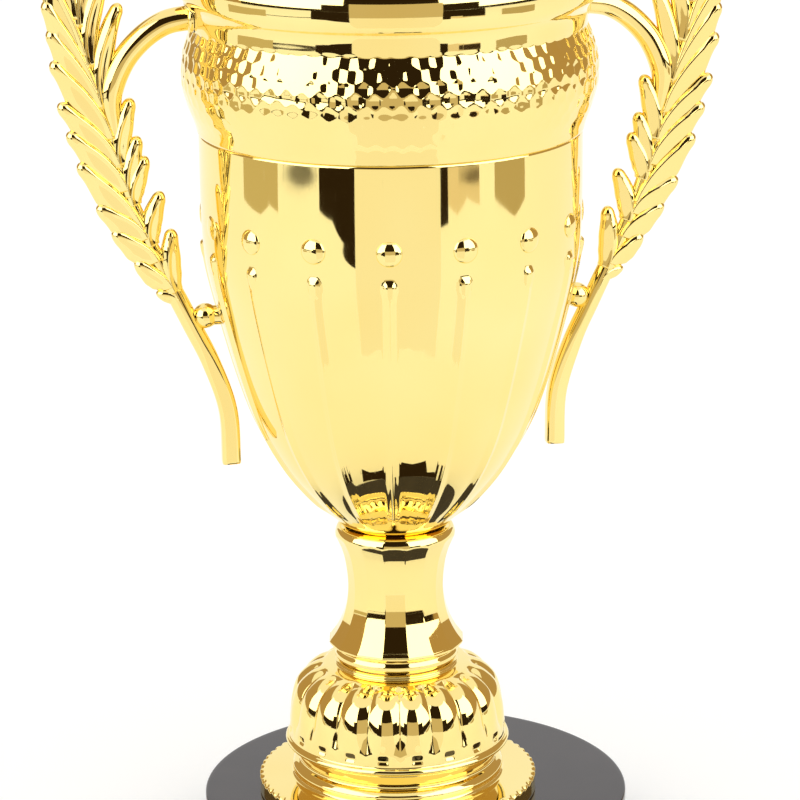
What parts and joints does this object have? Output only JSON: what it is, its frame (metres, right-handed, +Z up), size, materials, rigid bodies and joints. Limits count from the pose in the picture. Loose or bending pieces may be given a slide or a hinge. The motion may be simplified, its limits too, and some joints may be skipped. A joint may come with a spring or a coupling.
{
  "type": "cup trophy",
  "caption": "Two-handled gilt cup trophy with leaf-spray handles, on a fluted dome and a round black plinth, clamped by a tie rod.",
  "frame": {"origin": "on the axis of the gilt parts, at the level of the pad's underside, which is what the trophy stands on", "axes": "+Z up along the cup's axis; the two handles lie in the XZ plane, at -X and +X; -Y is a front between two beads"},
  "size_m": [0.1732, 0.11, 0.2502],
  "materials": {
    "gilt_plastic": "vacuum-metallised bright gold over moulded plastic",
    "black_plastic": "moulded, glossy black",
    "zinc_steel": "bright zinc plate",
    "ballast": "raw, dark",
    "foam": "fine-celled foam sheet"
  },
  "bodies": {
    "root": {"plinth": "black_plastic", "base_pad": "foam", "ballast_ring": "ballast", "base_plate": "gilt_plastic", "fluted_dome": "gilt_plastic", "stem": "gilt_plastic", "cup_bowl": "gilt_plastic", "rim_collar": "gilt_plastic", "handle_left": "gilt_plastic", "handle_right": "gilt_plastic", "tie_rod": "zinc_steel", "rod_nut_top": "zinc_steel", "rod_washer_top": "zinc_steel", "rod_nut_bottom": "zinc_steel", "rod_washer_bottom": "zinc_steel", "handle_screw_left_upper": "zinc_steel", "screw_washer_left_upper": "zinc_steel", "handle_screw_left_lower": "zinc_steel", "screw_washer_left_lower": "zinc_steel", "handle_screw_right_upper": "zinc_steel", "screw_washer_right_upper": "zinc_steel", "handle_screw_right_lower": "zinc_steel", "screw_washer_right_lower": "zinc_steel"}
  },
  "joints": []
}
